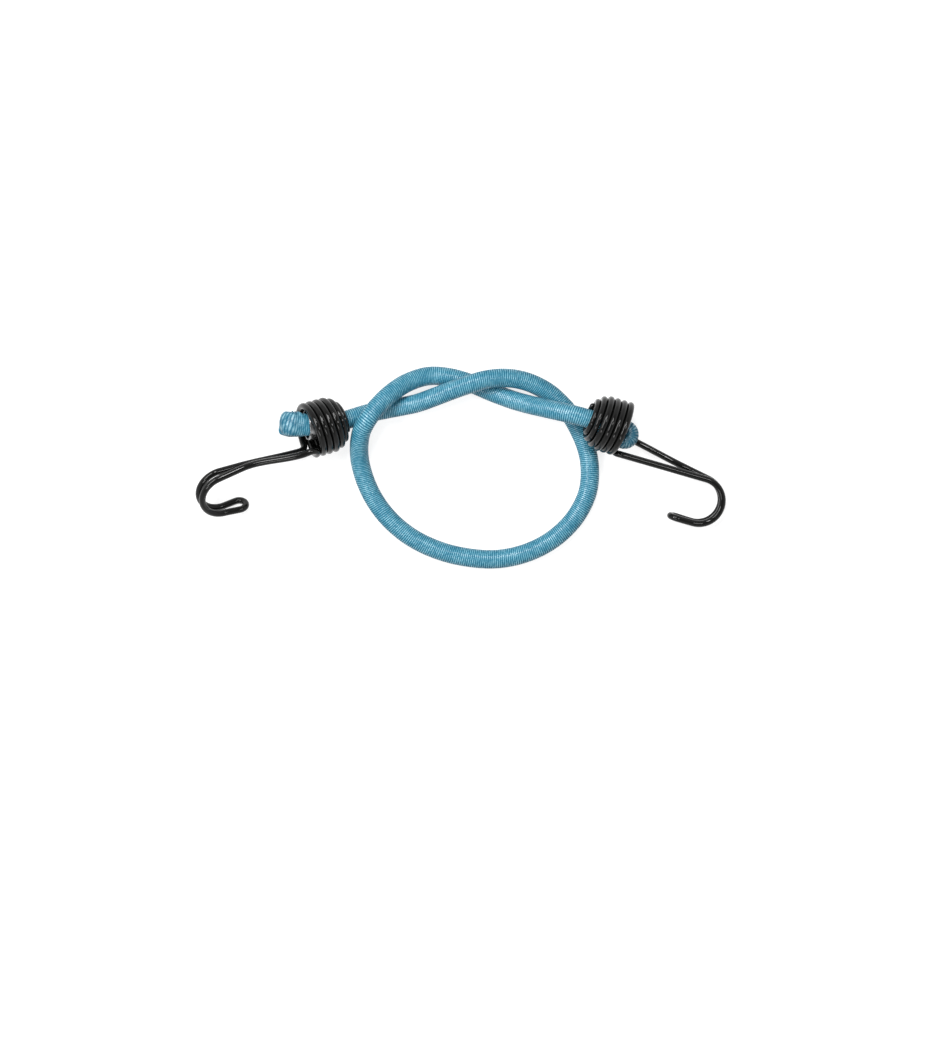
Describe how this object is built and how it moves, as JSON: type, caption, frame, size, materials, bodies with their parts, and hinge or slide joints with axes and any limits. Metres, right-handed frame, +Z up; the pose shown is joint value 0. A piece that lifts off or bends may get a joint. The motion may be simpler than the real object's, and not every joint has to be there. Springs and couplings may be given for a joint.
{
  "type": "bungee cord",
  "caption": "Elastic luggage cord with a braided textile sleeve over rubber strands, lying in one loose loop, with a folded, crimped end in a wound wire hook at each end.",
  "frame": {"origin": "on the floor, below the middle of the box round the two hooks and crimps", "axes": "+X to the right hook, +Y away from a viewer who looks down with the hooks' bends nearest, +Z up"},
  "size_m": [0.225, 0.0859, 0.0265],
  "materials": {
    "sleeve": "ribbed braided polyester, light blue",
    "rubber": "natural rubber thread, cream",
    "hook_wire": "steel wire with a glossy black coat",
    "crimp": "bright zinc-plated steel strip"
  },
  "bodies": {
    "cord": {"braided_sleeve": "sleeve", "rubber_strand_1": "rubber", "rubber_strand_2": "rubber", "rubber_strand_3": "rubber", "rubber_strand_4": "rubber", "rubber_strand_5": "rubber", "rubber_strand_6": "rubber", "rubber_strand_7": "rubber"},
    "left_end": {"left_crimp": "crimp"},
    "right_end": {"right_crimp": "crimp"},
    "left_hook_body": {"left_hook": "hook_wire"},
    "right_hook_body": {"right_hook": "hook_wire"}
  },
  "joints": [
    {"name": "left_stretch", "type": "slide", "parent": "cord", "child": "left_end", "axis": [-0.976, -0.218, 0], "range_m": [0, 0.04], "stiffness_N_per_m": 150, "deforming": ["braided_sleeve", "rubber_strand_1", "rubber_strand_2", "rubber_strand_3", "rubber_strand_4", "rubber_strand_5", "rubber_strand_6", "rubber_strand_7"]},
    {"name": "left_swivel", "type": "hinge", "parent": "left_end", "child": "left_hook_body", "pos_m": [-0.06598, 0.01272, 0.0144], "axis": [-0.9261, -0.2743, 0.2588], "range_deg": [-95, 105]},
    {"name": "right_stretch", "type": "slide", "parent": "cord", "child": "right_end", "axis": [0.9583, -0.2041, 0.2001], "range_m": [0, 0.04], "stiffness_N_per_m": 150, "deforming": ["braided_sleeve", "rubber_strand_1", "rubber_strand_2", "rubber_strand_3", "rubber_strand_4", "rubber_strand_5", "rubber_strand_6", "rubber_strand_7"]},
    {"name": "right_swivel", "type": "hinge", "parent": "right_end", "child": "right_hook_body", "pos_m": [0.07032, 0.01332, 0.0135], "axis": [-0.9483, 0.2809, 0.1478], "continuous": true}
  ]
}
